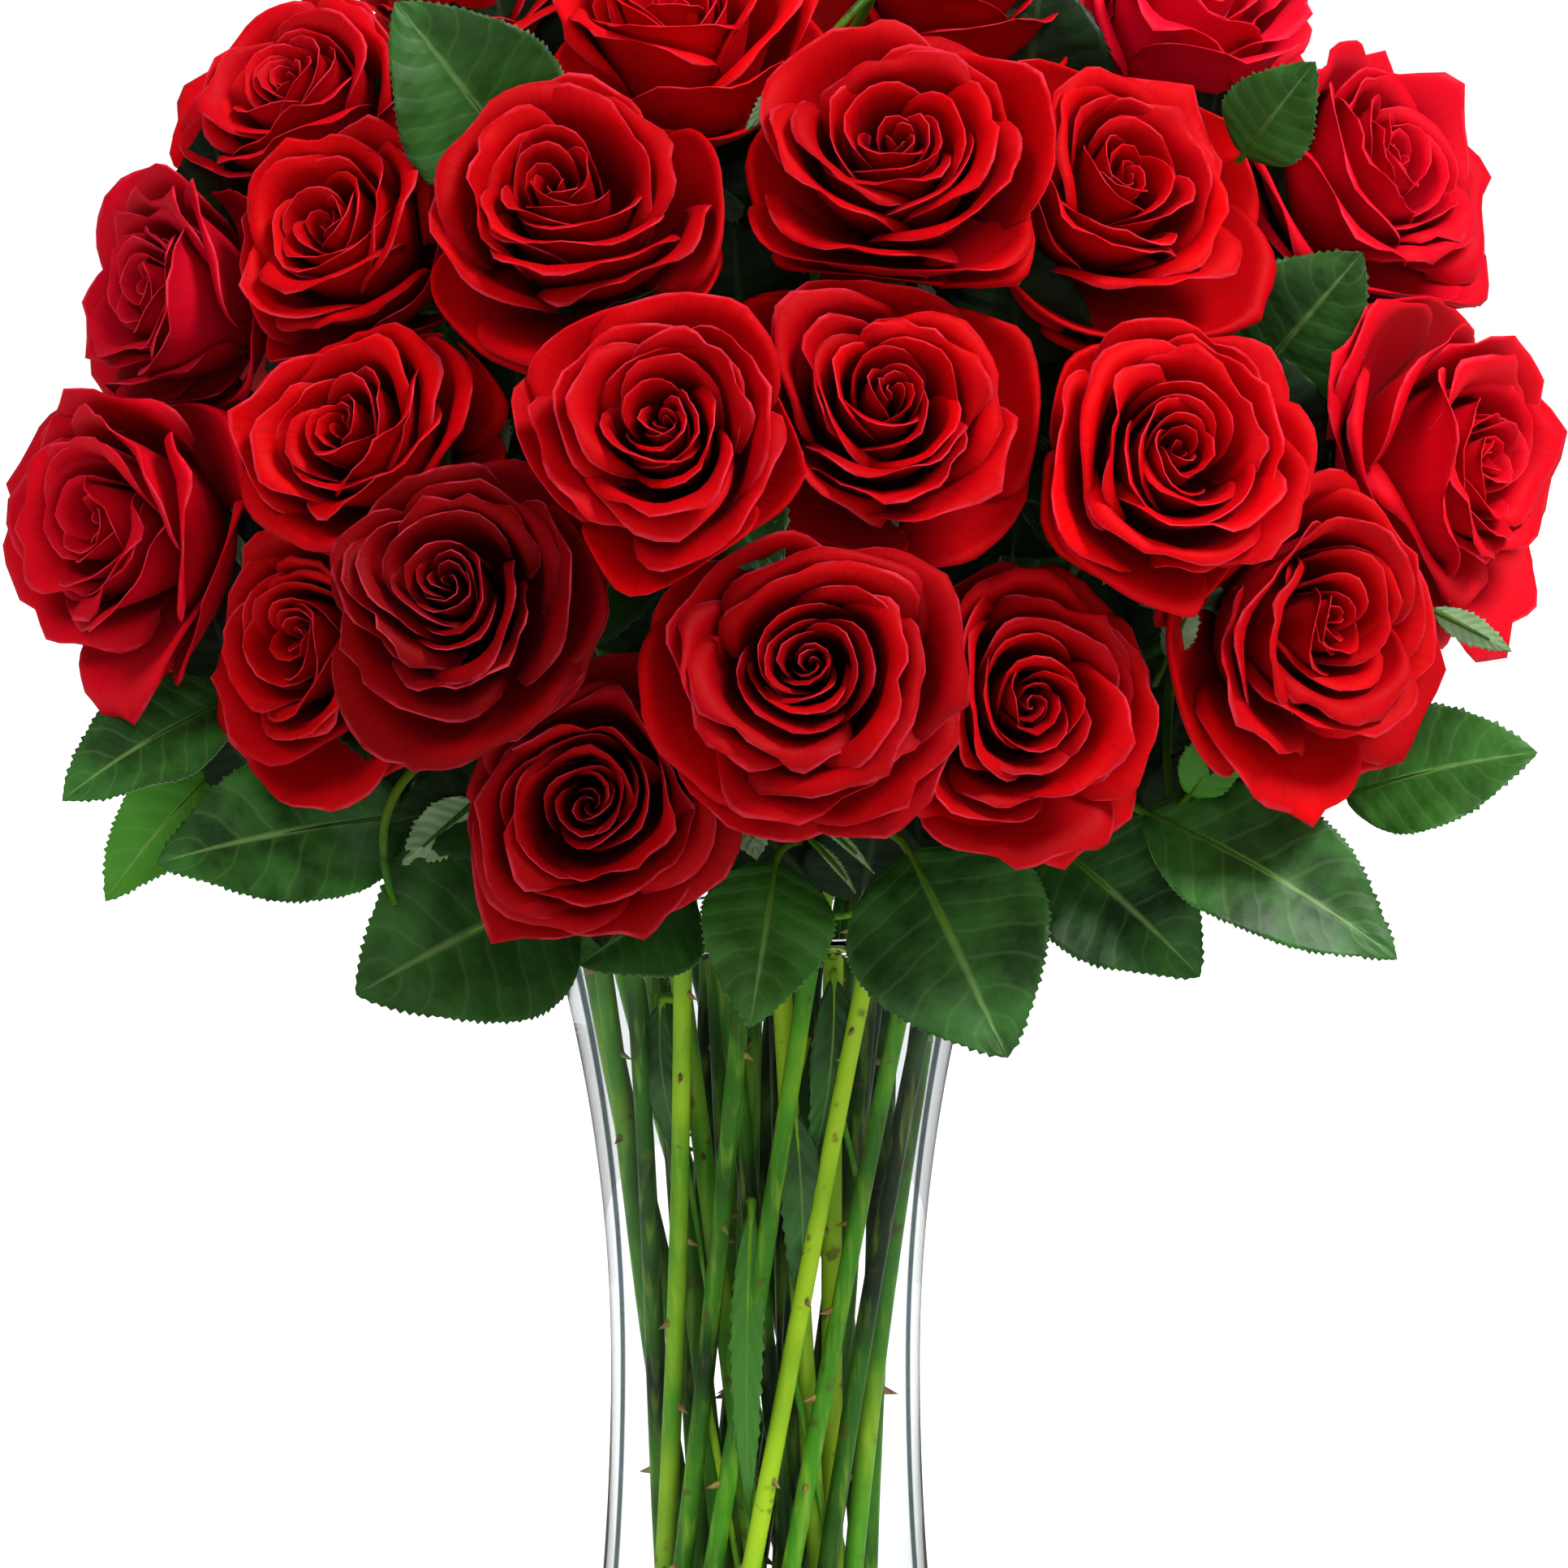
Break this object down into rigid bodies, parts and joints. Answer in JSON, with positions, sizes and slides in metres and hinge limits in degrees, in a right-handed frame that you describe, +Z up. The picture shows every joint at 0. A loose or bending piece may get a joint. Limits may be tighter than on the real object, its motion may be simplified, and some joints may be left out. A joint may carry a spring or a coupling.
{
  "type": "roses in a vase",
  "caption": "Bouquet of long-stemmed red roses with serrated leaves, standing in a clear waisted glass vase filled with water",
  "frame": {"origin": "centre of the vase's foot, on the table", "axes": "+Z up, -Y the bouquet's front, +X to the right seen from the front"},
  "size_m": [0.4225, 0.3162, 0.5206],
  "materials": {
    "petal": "velvety deep red petals",
    "foliage": "satin dark green leaves, lighter stems",
    "glass": "clear polished glass",
    "water": "still clear water"
  },
  "bodies": {
    "root": {"vase": "glass", "water": "water", "bloom_01": "petal", "bloom_02": "petal", "bloom_03": "petal", "bloom_04": "petal", "bloom_05": "petal", "bloom_06": "petal", "bloom_07": "petal", "bloom_08": "petal", "bloom_09": "petal", "bloom_10": "petal", "bloom_11": "petal", "bloom_12": "petal", "bloom_13": "petal", "bloom_14": "petal", "bloom_15": "petal", "bloom_16": "petal", "bloom_17": "petal", "bloom_18": "petal", "bloom_19": "petal", "bloom_20": "petal", "bloom_21": "petal", "bloom_22": "petal", "bloom_23": "petal", "bloom_24": "petal", "bloom_25": "petal", "bloom_26": "petal", "bloom_27": "petal", "bloom_28": "petal", "bloom_29": "petal", "leafy_stem_01": "foliage", "leafy_stem_02": "foliage", "leafy_stem_03": "foliage", "leafy_stem_04": "foliage", "leafy_stem_05": "foliage", "leafy_stem_06": "foliage", "leafy_stem_07": "foliage", "leafy_stem_08": "foliage", "leafy_stem_09": "foliage", "leafy_stem_10": "foliage", "leafy_stem_11": "foliage", "leafy_stem_12": "foliage", "leafy_stem_13": "foliage", "leafy_stem_14": "foliage", "leafy_stem_15": "foliage", "leafy_stem_16": "foliage", "leafy_stem_17": "foliage", "leafy_stem_18": "foliage", "leafy_stem_19": "foliage", "leafy_stem_20": "foliage", "leafy_stem_21": "foliage", "leafy_stem_22": "foliage", "leafy_stem_23": "foliage", "leafy_stem_24": "foliage", "leafy_stem_25": "foliage", "leafy_stem_26": "foliage", "leafy_stem_27": "foliage", "leafy_stem_28": "foliage", "leafy_stem_29": "foliage"}
  },
  "joints": []
}
